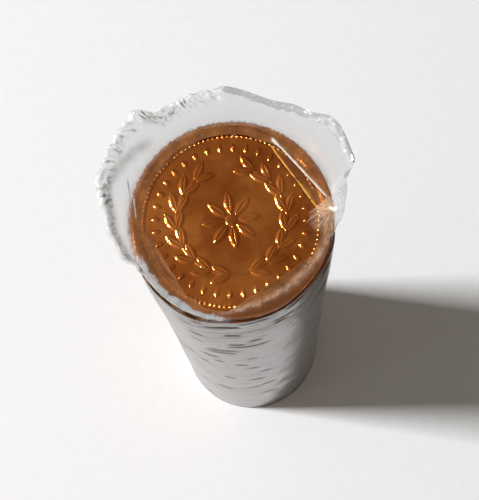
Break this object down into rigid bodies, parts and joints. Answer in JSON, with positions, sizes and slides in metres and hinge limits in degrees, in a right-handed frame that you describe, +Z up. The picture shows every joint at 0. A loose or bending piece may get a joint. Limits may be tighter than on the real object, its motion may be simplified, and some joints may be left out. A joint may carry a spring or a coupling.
{
  "type": "coin roll",
  "caption": "Upright stack of copper coins with raised rims, wound in clear film that is folded over both ends and stands up as a flared, pleated collar round the top.",
  "frame": {"origin": "on the axis of the roll, on the surface that it stands on", "axes": "+Z up along the roll's axis towards the collar, -Y towards the low front of the collar"},
  "size_m": [0.0242, 0.0221, 0.0784],
  "materials": {
    "coin_copper": "bright struck copper plating, toned brown, with a soft shine",
    "clear_film": "clear glossy film, milky where turns and creases overlap"
  },
  "bodies": {
    "root": {"coin_01": "coin_copper", "coin_02": "coin_copper", "coin_03": "coin_copper", "coin_04": "coin_copper", "coin_05": "coin_copper", "coin_06": "coin_copper", "coin_07": "coin_copper", "coin_08": "coin_copper", "coin_09": "coin_copper", "coin_10": "coin_copper", "coin_11": "coin_copper", "coin_12": "coin_copper", "coin_13": "coin_copper", "coin_14": "coin_copper", "coin_15": "coin_copper", "coin_16": "coin_copper", "coin_17": "coin_copper", "coin_18": "coin_copper", "coin_19": "coin_copper", "coin_20": "coin_copper", "coin_21": "coin_copper", "coin_22": "coin_copper", "coin_23": "coin_copper", "coin_24": "coin_copper", "coin_25": "coin_copper", "coin_26": "coin_copper", "coin_27": "coin_copper", "coin_28": "coin_copper", "coin_29": "coin_copper", "coin_30": "coin_copper", "coin_31": "coin_copper", "coin_32": "coin_copper", "coin_33": "coin_copper", "coin_34": "coin_copper", "coin_35": "coin_copper", "coin_36": "coin_copper", "coin_37": "coin_copper", "coin_38": "coin_copper", "coin_39": "coin_copper", "coin_40": "coin_copper", "coin_41": "coin_copper", "coin_42": "coin_copper", "coin_43": "coin_copper", "coin_44": "coin_copper", "coin_45": "coin_copper", "coin_46": "coin_copper", "coin_47": "coin_copper", "coin_48": "coin_copper", "coin_49": "coin_copper", "coin_50": "coin_copper", "film_sleeve": "clear_film", "film_bottom_fold": "clear_film", "film_top_fold": "clear_film", "film_collar": "clear_film"}
  },
  "joints": []
}
